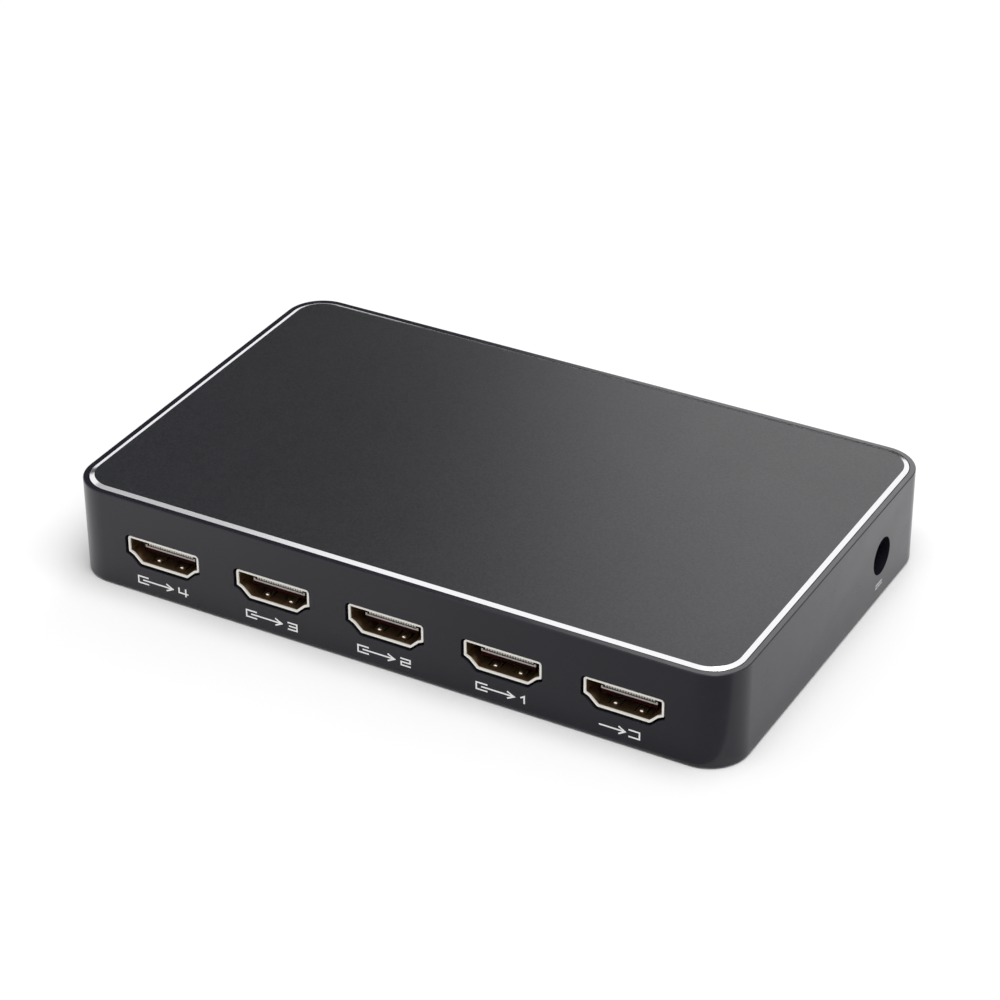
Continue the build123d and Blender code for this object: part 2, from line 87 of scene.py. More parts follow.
class Surface:
    """A mesh put together from grids of points and from flat caps."""

    def __init__(self) -> None:
        """Start with no points and no faces."""
        self.points: list[Array] = []
        self.faces: list[list[int]] = []
        self.marks: list[float] = []
        self.count = 0

    def grid(self, points: Array, closed: bool = True, mark: float = 0.0) -> Array:
        """Join a grid of points with four-sided faces.

        Args:
            points: array of rows, columns and 3 coordinates.
            closed: the last column is joined to the first.
            mark: value kept on these faces for the finish.

        Returns:
            The grid's point numbers, as rows and columns.
        """
        rows, columns = points.shape[:2]
        index = self.count + np.arange(rows * columns).reshape(rows, columns)
        if closed:
            here, beside = index, np.roll(index, -1, axis=1)
        else:
            here, beside = index[:, :-1], index[:, 1:]
        quads = np.stack((here[:-1], beside[:-1], beside[1:], here[1:]), axis=-1).reshape(-1, 4)
        self.points.append(points.reshape(-1, 3))
        self.faces.extend(quads.tolist())
        self.marks.extend([mark] * len(quads))
        self.count += rows * columns
        return index

    def cap(self, ring: Array) -> None:
        """Close a ring of point numbers with one flat face."""
        self.faces.append(ring.tolist())
        self.marks.append(0.0)

    def solid(self, points: Array) -> None:
        """Join a grid of closed rings and close its first and last ring.

        Args:
            points: array of rings, steps and 3 coordinates.
        """
        index = self.grid(points)
        self.cap(index[0])
        self.cap(index[-1])

    def piece(self, name: str, sharp: float = 35.0) -> bpy.types.Object:
        """Make the object, with doubles merged, faces turned outwards and smooth shading.

        Args:
            name: name of the new object.
            sharp: angle in degrees past which an edge stays sharp.

        Returns:
            The new object, at the origin.
        """
        mesh = bpy.data.meshes.new(name)
        mesh.from_pydata(np.concatenate(self.points).tolist(), [], self.faces)
        layer = mesh.attributes.new("mark", "FLOAT", "FACE")
        layer.data.foreach_set("value", np.array(self.marks, np.float32))
        work = bmesh.new()
        work.from_mesh(mesh)
        bmesh.ops.remove_doubles(work, verts=work.verts, dist=SAME_POINT)
        bmesh.ops.recalc_face_normals(work, faces=work.faces)
        work.to_mesh(mesh)
        work.free()
        return place_mesh(mesh, name, sharp)


def place_mesh(mesh: bpy.types.Mesh, name: str, sharp: float) -> bpy.types.Object:
    """Put a mesh into the scene with smooth shading.

    Args:
        mesh: the finished mesh.
        name: name of the new object.
        sharp: angle in degrees past which an edge stays sharp.

    Returns:
        The new object, at the origin.
    """
    mesh.shade_smooth()
    mesh.set_sharp_from_angle(angle=math.radians(sharp))
    piece = bpy.data.objects.new(name, mesh)
    bpy.context.scene.collection.objects.link(piece)
    return piece


def refined_copy(node: str, name: str, edge: float, segments: int = 3) -> bpy.types.Object:
    """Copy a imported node's mesh, with its doubles merged, its flats joined and its edges rounded.

    Args:
        node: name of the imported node.
        name: name of the new object.
        edge: width of the rounding, in metres.
        segments: faces across each rounding.

    Returns:
        The new object, at the origin.
    """
    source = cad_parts[node].data
    points = np.empty(len(source.vertices) * 3, np.float32)
    source.vertices.foreach_get("co", points)
    corners = np.empty(len(source.loops), np.int32)
    source.loops.foreach_get("vertex_index", corners)
    cells = np.round(points.reshape(-1, 3) / SAME_POINT).astype(np.int64)
    _, first, merged = np.unique(cells, axis=0, return_index=True, return_inverse=True)
    triangles = merged.reshape(-1)[corners].reshape(-1, 3)
    mesh = bpy.data.meshes.new(name)
    mesh.from_pydata(points.reshape(-1, 3)[first].tolist(), [], triangles.tolist())
    work = bmesh.new()
    work.from_mesh(mesh)
    bmesh.ops.remove_doubles(work, verts=work.verts, dist=SAME_EDGE)
    bmesh.ops.dissolve_limit(
        work,
        angle_limit=math.radians(FLAT_ANGLE),
        verts=work.verts,
        edges=work.edges,
        delimit={"NORMAL"},
    )
    work.to_mesh(mesh)
    work.free()
    piece = place_mesh(mesh, name, SHADE_ANGLE)
    bevel = piece.modifiers.new("rounded_edges", "BEVEL")
    bevel.width = edge
    bevel.segments = segments
    bevel.limit_method = "ANGLE"
    bevel.angle_limit = math.radians(EDGE_ANGLE)
    bevel.miter_outer = "MITER_SHARP"
    bevel.harden_normals = True
    return piece


def smooth_step(values: Array) -> Array:
    """Ease from 0 to 1: three times the square less twice the cube, held at both ends."""
    held = np.clip(values, 0.0, 1.0)
    return held * held * (3.0 - 2.0 * held)


def rounded_path(width: float, depth: float, radius: float, steps: int) -> Array:
    """Points round a rectangle with rounded corners, seen from above.

    Each point is its corner's centre plus the radius times the cosine and sine of an angle that
    runs a quarter turn at each corner.

    Args:
        width: size along X.
        depth: size along Y.
        radius: radius of the corners.
        steps: points on each corner.

    Returns:
        Array of 4 * steps points and 2 coordinates.
    """
    start = np.repeat(np.arange(4) * np.pi / 2, steps)
    turn = start + np.tile(np.linspace(0.0, np.pi / 2, steps), 4)
    centre_x = (width / 2 - radius) * np.sign(np.cos(start + np.pi / 4))
    centre_y = (depth / 2 - radius) * np.sign(np.sin(start + np.pi / 4))
    return np.stack((centre_x + radius * np.cos(turn), centre_y + radius * np.sin(turn)), axis=1)


def lathe(profile: Array, centre: tuple[float, float], steps: int) -> Array:
    """Turn a profile about an upright axis.

    A point is the centre plus its radius times the cosine and sine of the angle, at its height.

    Args:
        profile: rows of radius and height.
        centre: X and Y of the axis.
        steps: points round each ring.

    Returns:
        Array of profile points, steps and 3 coordinates.
    """
    radius, height = profile.T
    angle = np.linspace(0.0, 2 * np.pi, steps, endpoint=False)
    x = centre[0] + radius[:, None] * np.cos(angle)
    y = centre[1] + radius[:, None] * np.sin(angle)
    z = np.broadcast_to(height[:, None], x.shape)
    return np.stack((x, y, z), axis=-1)


# ---- Finishes


def shaded(colour: Colour, share: float) -> Colour:
    """A colour times a share."""
    return tuple(share * part for part in colour)


class Sheet:
    """One material's node tree, with short calls that add and join its nodes."""

    def __init__(self, name: str) -> None:
        """Start a material with a Principled shader on its output.

        Args:
            name: name of the material.
        """
        self.material = bpy.data.materials.new(name)
        self.material.use_nodes = True
        self.tree = self.material.node_tree
        self.tree.nodes.clear()
        self.shader = self.add("ShaderNodeBsdfPrincipled")
        output = self.add("ShaderNodeOutputMaterial")
        self.join(self.shader.outputs["BSDF"], output.inputs["Surface"])
        self.place = self.add("ShaderNodeTexCoord").outputs["Object"]

    def add(self, kind: str) -> bpy.types.Node:
        """Add one node of a kind."""
        return self.tree.nodes.new(kind)

    def join(self, source: Socket, target: Socket) -> None:
        """Join an output to an input."""
        self.tree.links.new(source, target)

    def feed(self, value: Value, target: Socket) -> None:
        """Give an input a value.

        Args:
            value: an output, which is joined, or a plain number or colour, which is set.
            target: the input.
        """
        if isinstance(value, Socket):
            self.join(value, target)
        elif isinstance(value, tuple):
            target.default_value = (*value, 1.0)
        else:
            target.default_value = value

    def noise(self, size: float, detail: float, stretch: Point = (1.0, 1.0, 1.0)) -> Socket:
        """Noise on Object coordinates.

        Args:
            size: size of its features, in metres.
            detail: how many finer layers it has.
            stretch: factors on X, Y and Z; a small one draws the pattern out along that axis.

        Returns:
            The noise value.
        """
        mapping = self.add("ShaderNodeMapping")
        mapping.inputs["Scale"].default_value = stretch
        self.join(self.place, mapping.inputs["Vector"])
        noise = self.add("ShaderNodeTexNoise")
        noise.inputs["Scale"].default_value = 1.0 / size
        noise.inputs["Detail"].default_value = detail
        self.join(mapping.outputs["Vector"], noise.inputs["Vector"])
        return noise.outputs["Fac"]

    def ramp(self, value: Socket, start: float, end: float, low: float, high: float) -> Socket:
        """Take a value from one range onto another, held at both ends.

        Args:
            value: the value.
            start: value that gives the low result.
            end: value that gives the high result.
            low: result at the start.
            high: result at the end.

        Returns:
            The value on its new range.
        """
        node = self.add("ShaderNodeMapRange")
        names = ("From Min", "From Max", "To Min", "To Max")
        for name, limit in zip(names, (start, end, low, high)):
            node.inputs[name].default_value = limit
        self.join(value, node.inputs["Value"])
        return node.outputs["Result"]

    def span(self, value: Socket, low: float, high: float, spread: float = 0.25) -> Socket:
        """Take a noise value, which lies about 0.5 within a spread, onto a range."""
        return self.ramp(value, 0.5 - spread, 0.5 + spread, low, high)

    def mix(self, share: Socket, first: Value, second: Value, kind: str = "RGBA") -> Socket:
        """Mix two colours or two numbers by a share.

        Args:
            share: 0 gives the first and 1 the second.
            first: a colour or a number, or an output that gives one.
            second: another of the same kind.
            kind: "RGBA" for colours and "FLOAT" for numbers.

        Returns:
            The mixed colour or number.
        """
        node = self.add("ShaderNodeMix")
        node.data_type = kind
        place, result = (6, 2) if kind == "RGBA" else (2, 0)
        self.join(share, node.inputs[0])
        self.feed(first, node.inputs[place])
        self.feed(second, node.inputs[place + 1])
        return node.outputs[result]

    def bump(self, height: Socket, distance: float) -> None:
        """Bend the shader's normal by a height.

        Args:
            height: the height value.
            distance: height in metres for a value of 1.
        """
        node = self.add("ShaderNodeBump")
        node.inputs["Strength"].default_value = 1.0
        node.inputs["Distance"].default_value = distance
        self.join(height, node.inputs["Height"])
        self.join(node.outputs["Normal"], self.shader.inputs["Normal"])

    def set(self, **values: Value) -> None:
        """Give the shader's own sockets their values, with underscores for spaces."""
        for name, value in values.items():
            self.feed(value, self.shader.inputs[name.replace("_", " ")])


@dataclass(frozen=True)
class Finish:
    """A surface with patchy colour, a fine grain and worn, shinier places.

    Attributes:
        name: name of the material.
        slot: slot of the record that it belongs to; not used.
        base: main colour.
        tint: colour of the patches.
        metallic: 1 for bare metal.
        gloss: lowest and highest roughness.
        grain: size of the surface's grain.
        relief: height of the grain.
        patch: size of the patches of colour.
        stretch: factors that draw the grain out along an axis.
        specular: strength of the plain reflection.
    """

    name: str
    slot: str
    base: Colour
    tint: Colour
    metallic: float = 0.0
    gloss: tuple[float, float] = (0.4, 0.5)
    grain: float = 0.25 * MM
    relief: float = 0.004 * MM
    patch: float = 12.0 * MM
    stretch: Point = (1.0, 1.0, 1.0)
    specular: float = 0.5

    def build(self) -> bpy.types.Material:
        """Make the material, or give the one already made.

        Returns:
            The node material.
        """
        known = bpy.data.materials.get(self.name)
        if known is not None:
            return known
        sheet = Sheet(self.name)
        self.compose(sheet)
        return sheet.material

    def compose(self, sheet: Sheet) -> None:
        """Lay out the nodes: a patchy colour, a patchy roughness and a grain over both.

        Args:
            sheet: the material's nodes.
        """
        patches = sheet.span(sheet.noise(self.patch, 4.0), 0.0, 1.0)
        grain = sheet.noise(self.grain, 3.0, self.stretch)
        colour = self.extra_colour(sheet, sheet.mix(patches, self.base, self.tint))
        sheet.bump(grain, self.relief)
        sheet.set(Base_Color=colour, Roughness=self.roughness(sheet))
        sheet.set(Metallic=self.metallic, Specular_IOR_Level=self.specular)

    def roughness(self, sheet: Sheet) -> Socket:
        """Roughness in patches a third of the size of those of the colour."""
        return sheet.span(sheet.noise(self.patch / 3, 3.0), *self.gloss)

    def extra_colour(self, sheet: Sheet, colour: Socket) -> Socket:
        """Change the colour further; a plain finish leaves it as it is."""
        return colour

    def dress(self, piece: bpy.types.Object) -> None:
        """Put the material into every slot of an object.

        Args:
            piece: the object.
        """
        material = self.build()
        if not piece.material_slots:
            piece.data.materials.append(material)
        for place in piece.material_slots:
            place.material = material


@dataclass(frozen=True)
class CutPlateFinish(Finish):
    """Black anodised and blasted aluminium whose cut bevel is bare and bright.

    Attributes:
        patch_share: how far the patches go towards the tint.
        speckle_spread: how soft the blasted specks are.
        bare: colour of the cut metal.
        bare_roughness: roughness of the cut metal.
    """

    patch_share: float = 0.25
    speckle_spread: float = 0.2
    bare: Colour = (0.93, 0.93, 0.95)
    bare_roughness: float = 0.16

    def compose(self, sheet: Sheet) -> None:
        """Lay out the nodes: the faces marked 1 are bare metal, and the others are anodised.

        Args:
            sheet: the material's nodes.
        """
        mark = sheet.add("ShaderNodeAttribute")
        mark.attribute_name = "mark"
        cut = mark.outputs["Fac"]
        patches = sheet.span(sheet.noise(self.patch, 4.0), 0.0, self.patch_share)
        speckle = sheet.span(sheet.noise(self.grain, 2.0), 0.0, 1.0, self.speckle_spread)
        anodised = sheet.mix(speckle, sheet.mix(patches, self.base, self.tint), self.tint)
        line_size, line_share, line_shade = 0.2 * MM, 0.12, 0.8
        lines = sheet.span(sheet.noise(line_size, 3.0), 0.0, line_share)
        bare = sheet.mix(lines, self.bare, shaded(self.bare, line_shade))
        rough = sheet.mix(cut, self.roughness(sheet), self.bare_roughness, "FLOAT")
        height = sheet.mix(cut, sheet.noise(self.grain, 3.0), 0.5, "FLOAT")
        sheet.bump(height, self.relief)
        sheet.set(Base_Color=sheet.mix(cut, anodised, bare), Roughness=rough)
        sheet.set(Metallic=sheet.mix(cut, self.metallic, 1.0, "FLOAT"))
        sheet.set(Specular_IOR_Level=self.specular)


@dataclass(frozen=True)
class PaintedShadingFinish(Finish):
    """A finish with another colour inside one box of the model, painted there as light and shade.

    Attributes:
        zone_low: lowest corner of the box.
        zone_high: highest corner of the box.
        painted_shading_colour: colour inside the box.
        zone_metallic: how metallic the surface is inside the box.
    """

    zone_low: Point = (-1.0, -1.0, -1.0)
    zone_high: Point = (1.0, 1.0, 1.0)
    painted_shading_colour: Colour = (1.0, 1.0, 1.0)
    zone_metallic: float = 0.0

    def inside(self, sheet: Sheet) -> Socket:
        """Whether a point is in the box: the product of one comparison for each face of the box.

        Args:
            sheet: the material's nodes.

        Returns:
            1 inside the box and 0 outside it.
        """
        axes = sheet.add("ShaderNodeSeparateXYZ")
        sheet.join(sheet.place, axes.inputs[0])
        limits = (("GREATER_THAN", self.zone_low), ("LESS_THAN", self.zone_high))
        result = None
        for axis in range(3):
            for kind, limit in limits:
                test = sheet.add("ShaderNodeMath")
                test.operation = kind
                test.inputs[1].default_value = limit[axis]
                sheet.join(axes.outputs[axis], test.inputs[0])
                if result is None:
                    result = test.outputs[0]
                    continue
                both = sheet.add("ShaderNodeMath")
                both.operation = "MULTIPLY"
                sheet.join(result, both.inputs[0])
                sheet.join(test.outputs[0], both.inputs[1])
                result = both.outputs[0]
        return result

    def extra_colour(self, sheet: Sheet, colour: Socket) -> Socket:
        """Lay the painted light and shade over the zone, and make the zone as metallic as it should
        be.

        Args:
            sheet: the material's nodes.
            colour: the patchy colour.

        Returns:
            The colour for the shader.
        """
        inside = self.inside(sheet)
        sheet.set(Metallic=sheet.ramp(inside, 0.0, 1.0, self.metallic, self.zone_metallic))
        return sheet.mix(inside, colour, self.painted_shading_colour)


@dataclass(frozen=True)
class BoardFinish(Finish):
    """Solder mask over copper tracks, which show as slightly paler bands.

    Attributes:
        track: colour over the copper.
        track_size: distance between tracks.
    """

    track: Colour = (0.010, 0.050, 0.026)
    track_size: float = 1.6 * MM

    def extra_colour(self, sheet: Sheet, colour: Socket) -> Socket:
        """Lay the tracks over the mask.

        Args:
            sheet: the material's nodes.
            colour: the patchy colour.

        Returns:
            The colour for the shader.
        """
        cells = sheet.add("ShaderNodeTexVoronoi")
        cells.feature = "DISTANCE_TO_EDGE"
        cells.inputs["Scale"].default_value = 1.0 / self.track_size
        sheet.join(sheet.place, cells.inputs["Vector"])
        edge = sheet.ramp(cells.outputs["Distance"], 0.05, 0.09, 1.0, 0.0)
        return sheet.mix(edge, colour, self.track)


CASE = Finish(
    "case_black",
    "case_plastic",
    (0.0085, 0.0080, 0.0135),
    (0.0115, 0.0108, 0.0170),
    gloss=(0.23, 0.28),
    relief=0.0018 * MM,
    specular=0.42,
)
COVER = Finish(
    "cover_black",
    "cover_plastic",
    (0.012, 0.012, 0.013),
    (0.018, 0.018, 0.019),
    gloss=(0.45, 0.55),
    relief=0.006 * MM,
)
PLATE = CutPlateFinish(
    "plate_anodised",
    "plate_metal",
    (0.0021, 0.0023, 0.0049),
    (0.0200, 0.0206, 0.0240),
    gloss=(0.35, 0.37),
    grain=0.36 * MM,
    relief=0.005 * MM,
    patch=30.0 * MM,
    specular=0.36,
)
# Gold plate darkened as painted shade for the inside of the sockets; in front of Y = -40.3 mm it
# turns pale and not metallic, a painted highlight on the lip of each mouth.
GOLD = PaintedShadingFinish(
    "shell_gold",
    "shell_metal",
    (0.54, 0.38, 0.22),
    (0.48, 0.33, 0.19),
    metallic=1.0,
    gloss=(0.34, 0.4),
    grain=0.4 * MM,
    relief=0.0004 * MM,
    patch=4.0 * MM,
    zone_high=(1.0, -40.3 * MM, 1.0),
    painted_shading_colour=(1.0, 0.98, 0.90),
)
# Near-white metal for the bumps on the gold shell's fingers: a painted highlight, paler than the
# shell so that they show as bright glints.
DIMPLE = Finish(
    "dimple_gold",
    "shell_metal",
    (1.0, 0.97, 0.90),
    (0.98, 0.94, 0.84),
    metallic=0.9,
    gloss=(0.14, 0.2),
    grain=0.2 * MM,
    relief=0.0002 * MM,
    patch=1.0 * MM,
)
# Dark moulding; the pale grey band 8.45 to 9.02 mm high at the front of the tongue is a painted
# highlight, the lit edge under the row of contacts.
INSULATOR = PaintedShadingFinish(
    "insulator_black",
    "socket_plastic",
    (0.004, 0.0025, 0.0025),
    (0.030, 0.0025, 0.0030),
    gloss=(0.4, 0.55),
    patch=3.0 * MM,
    specular=0.03,
    zone_low=(-1.0, -1.0, 8.45 * MM),
    zone_high=(1.0, -38.4 * MM, 9.02 * MM),
    painted_shading_colour=(0.55, 0.54, 0.53),
)
# Pale plated contacts; above 9.02 mm high they turn near black, painted shade on the parts that lie
# in the shade of the plastic and the shell.
CONTACT = PaintedShadingFinish(
    "contact_metal",
    "contact_metal",
    (1.0, 0.99, 0.98),
    (0.95, 0.93, 0.91),
    metallic=0.2,
    gloss=(0.25, 0.34),
    patch=1.5 * MM,
    relief=0.001 * MM,
    zone_low=(-1.0, -1.0, 9.02 * MM),
    painted_shading_colour=(0.04, 0.03, 0.025),
    zone_metallic=0.2,
)
JACK = Finish(
    "jack_black",
    "jack_plastic",
    (0.003, 0.003, 0.004),
    (0.005, 0.005, 0.006),
    gloss=(0.45, 0.55),
    patch=4.0 * MM,
    specular=0.2,
)
TERMINAL = Finish(
    "terminal_metal",
    "terminal_metal",
    (0.76, 0.76, 0.74),
    (0.66, 0.65, 0.62),
    metallic=1.0,
    gloss=(0.2, 0.35),
    patch=2.0 * MM,
    relief=0.001 * MM,
)
RUBBER = Finish(
    "foot_rubber",
    "foot_rubber",
    (0.022, 0.022, 0.022),
    (0.034, 0.033, 0.032),
    gloss=(0.75, 0.9),
    relief=0.012 * MM,
    patch=3.0 * MM,
    specular=0.3,
)
SCREW = Finish(
    "screw_black",
    "screw_metal",
    (0.05, 0.05, 0.052),
    (0.11, 0.11, 0.115),
    metallic=0.9,
    gloss=(0.3, 0.45),
    patch=1.2 * MM,
    relief=0.002 * MM,
)
ADHESIVE = Finish(
    "adhesive_sheet",
    "adhesive",
    (0.62, 0.62, 0.58),
    (0.7, 0.7, 0.66),
    gloss=(0.5, 0.7),
)
BOARD = BoardFinish(
    "board_green",
    "board_laminate",
    (0.006, 0.030, 0.016),
    (0.008, 0.036, 0.020),
    gloss=(0.3, 0.4),
)
CHIP = Finish(
    "chip_black",
    "chip_plastic",
    (0.02, 0.02, 0.021),
    (0.03, 0.03, 0.03),
    gloss=(0.5, 0.65),
    patch=2.0 * MM,
)
PAD = Finish(
    "pad_silicone",
    "pad_silicone",
    (0.42, 0.44, 0.48),
    (0.5, 0.52, 0.55),
    gloss=(0.7, 0.85),
)
SINK = Finish(
    "sink_aluminium",
    "sink_metal",
    (0.74, 0.74, 0.76),
    (0.66, 0.66, 0.68),
    metallic=1.0,
    gloss=(0.3, 0.45),
    stretch=(1.0, 0.05, 1.0),
)
CERAMIC = Finish(
    "part_ceramic",
    "part_ceramic",
    (0.5, 0.38, 0.24),
    (0.58, 0.46, 0.32),
    gloss=(0.5, 0.65),
    patch=1.0 * MM,
)
CAN = Finish(
    "can_aluminium",
    "can_metal",
    (0.8, 0.8, 0.82),
    (0.7, 0.7, 0.72),
    metallic=1.0,
    gloss=(0.2, 0.32),
    stretch=(1.0, 1.0, 0.1),
    relief=0.002 * MM,
)
PRINT = Finish(
    "print_white",
    "case_plastic",
    (0.98, 0.98, 0.98),
    (0.93, 0.93, 0.93),
    grain=0.08 * MM,
    relief=0.002 * MM,
    patch=0.6 * MM,
)


def keep(piece: bpy.types.Object, finish: Finish, nodes: Sequence[str] = ()) -> None:
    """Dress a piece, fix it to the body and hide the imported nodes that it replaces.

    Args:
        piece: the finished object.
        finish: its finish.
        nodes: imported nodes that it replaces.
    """
    finish.dress(piece)
    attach(piece, BODY)
    if nodes:
        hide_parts(*nodes)
    LOG.info("made %s with %d faces", piece.name, len(piece.data.polygons))


def dress_nodes(finish: Finish, *nodes: str) -> None:
    """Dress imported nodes, which stay as they are.

    Args:
        finish: their finish.
        nodes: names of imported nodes.
    """
    for node in nodes:
        finish.dress(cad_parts[node])
        LOG.info("dressed %s", node)


# ---- Case


@dataclass(frozen=True)
class Screw:
    """A countersunk screw that stands on its head's face.

    Attributes:
        head: radius of the head.
        shaft: radius of the shaft with its thread.
        cone: height of the cone under the head.
        pitch: distance between turns of the thread.
        thread: depth of the thread.
        arm: half the width of the cross's arms.
        reach: length of the arms.
        recess: depth of the cross.
        tip: radius of the point.
        tip_height: height of the point.
        steps: points round each ring.
    """

    head: float = 2.3 * MM
    shaft: float = 1.2 * MM
    cone: float = 1.3 * MM
    pitch: float = 0.9 * MM
    thread: float = 0.16 * MM
    arm: float = 0.28 * MM
    reach: float = 1.25 * MM
    recess: float = 0.8 * MM
    tip: float = 0.5 * MM
    tip_height: float = 0.6 * MM
    steps: int = 96

    def rings(self, low: float, high: float) -> Array:
        """Rings of points round the Z axis: the head's face, the cone, the shaft and the point.

        The face lies at the lowest height plus a depth that eases in where a point lies within
        half an arm's width of either axis of the cross. The thread's radius falls and rises with
        the share of a turn that is left after the height over the pitch less the angle.

        Args:
            low: height of the head's face.
            high: height of the point.

        Returns:
            Array of rings, steps and 3 coordinates.
        """
        side_slope, end_slope, pole = 0.12 * MM, 0.2 * MM, 0.02 * MM
        angle = np.linspace(0.0, 2 * np.pi, self.steps, endpoint=False)
        face = np.linspace(pole, self.head, 28)[:, None]
        across = np.minimum(np.abs(face * np.cos(angle)), np.abs(face * np.sin(angle)))
        cross = smooth_step((self.arm - across) / side_slope)
        cross = cross * smooth_step((self.reach - face) / end_slope)
        rise = np.linspace(0.0, 1.0, 4)[1:, None]
        height = np.linspace(low + self.cone, high - self.tip_height, 70)[1:, None]
        turn = (height - low) / self.pitch - angle / (2 * np.pi)
        ridge = self.shaft - self.thread * 2 * np.abs(turn - np.floor(turn) - 0.5)
        parts = (
            (face, low + self.recess * cross),
            (self.head + (self.shaft - self.head) * rise, low + self.cone * rise),
            (ridge, height),
            (self.tip, np.array([[high]])),
        )
        rings = [
            np.broadcast_arrays(radius * np.cos(angle), radius * np.sin(angle), level)
            for radius, level in parts
        ]
        return np.concatenate([np.stack(ring, axis=-1) for ring in rings])


@dataclass(frozen=True)
class Foot:
    """A thin round pad with a soft lower edge and a slightly hollow middle.

    Attributes:
        radius: radius of the pad.
        soft: rounding of its lower edge.
        hollow: depth of the hollow.
        middle: radius of the first ring.
        hollow_floor: radius of the hollow's flat floor.
        hollow_edge: radius at which the hollow ends.
    """

    radius: float = 4.5 * MM
    soft: float = 0.18 * MM
    hollow: float = 0.06 * MM
    middle: float = 0.3 * MM
    hollow_floor: float = 2.6 * MM
    hollow_edge: float = 3.0 * MM

    def profile(self, low: float, high: float) -> Array:
        """The pad's section, from the middle of its lower side to its upper edge.

        Args:
            low: height of the lower side.
            high: height of the upper side.

        Returns:
            Rows of radius and height.
        """
        turn = np.linspace(0.0, np.pi / 2, 6)
        radius = self.radius - self.soft + self.soft * np.sin(turn)
        rounding = np.column_stack((radius, low + self.soft - self.soft * np.cos(turn)))
        floor = low + self.hollow
        hollow = [(self.middle, floor), (self.hollow_floor, floor), (self.hollow_edge, low)]
        return np.vstack((hollow, rounding, (self.radius, high)))


@dataclass
class Case:
    """The housing, the plate in its rim and the cover with its screws and feet.

    Attributes:
        width: size of the case along X.
        depth: size of the case along Y.
        corner: radius of its upright corners.
        edge: rounding of the housing's edges.
        cover_edge: rounding of the bottom cover's edges.
        plate_inset: distance from the wall's outside to the plate.
        bevel_width: width of the plate's cut bevel, seen from above.
        bevel_height: height of the cut bevel.
        steps: points on each rounded corner.
    """

    width: float = 132.0 * MM
    depth: float = 82.0 * MM
    corner: float = 7.5 * MM
    edge: float = 0.12 * MM
    cover_edge: float = 0.15 * MM
    plate_inset: float = 1.21 * MM
    bevel_width: float = 0.89 * MM
    bevel_height: float = 0.3 * MM
    steps: int = 32

    def ring(self, inset: float, height: float) -> Array:
        """The case's outline drawn in by an inset, at a height.

        Args:
            inset: distance inwards from the wall's outside.
            height: height above the ground.

        Returns:
            Rows of 3 coordinates.
        """
        width, depth = self.width - 2 * inset, self.depth - 2 * inset
        flat = rounded_path(width, depth, self.corner - inset, self.steps)
        return np.column_stack((flat, np.full(len(flat), height)))

    def build_plate(self) -> None:
        """The plate: rings of its edge, a marked bevel, and a flat cap at the top and bottom."""
        low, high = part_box("top_plate")
        soft = 0.06 * MM
        shoulder = high.z - self.bevel_height
        side = [
            (self.plate_inset + soft, low.z),
            (self.plate_inset, low.z + soft),
            (self.plate_inset, shoulder),
        ]
        bevel = [(self.plate_inset, shoulder), (self.plate_inset + self.bevel_width, high.z)]
        surface = Surface()
        edge = surface.grid(np.stack([self.ring(*point) for point in side]))
        cut = surface.grid(np.stack([self.ring(*point) for point in bevel]), mark=1.0)
        surface.cap(edge[0])
        surface.cap(cut[-1])
        keep(surface.piece("plate", sharp=10.0), PLATE, ["top_plate"])

    def build_screws(self) -> None:
        """Four screws, each turned about its own axis and carried to its corner."""
        low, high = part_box("cover_screws")
        screw = Screw()
        rings = screw.rings(low.z, high.z)
        centre_x, centre_y = high.x - screw.head, high.y - screw.head
        surface = Surface()
        for side_x, side_y in FOUR_CORNERS:
            surface.solid(rings + np.array((side_x * centre_x, side_y * centre_y, 0.0)))
        keep(surface.piece("screws", sharp=30.0), SCREW, ["cover_screws"])

    def build_feet(self) -> None:
        """Four feet, each a turned profile at its corner."""
        low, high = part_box("rubber_feet")
        foot = Foot()
        profile = foot.profile(low.z, high.z)
        centre_x, centre_y = high.x - foot.radius, high.y - foot.radius
        surface = Surface()
        for side_x, side_y in FOUR_CORNERS:
            surface.solid(lathe(profile, (side_x * centre_x, side_y * centre_y), steps=64))
        keep(surface.piece("feet", sharp=40.0), RUBBER, ["rubber_feet"])

    def build(self) -> None:
        """Make and dress the whole case."""
        keep(refined_copy("housing", "case_shell", self.edge), CASE, ["housing"])
        cover = refined_copy("bottom_cover", "case_cover", self.cover_edge, segments=2)
        keep(cover, COVER, ["bottom_cover"])
        self.build_plate()
        self.build_screws()
        self.build_feet()
        dress_nodes(ADHESIVE, "plate_adhesive")


# ---- Sockets


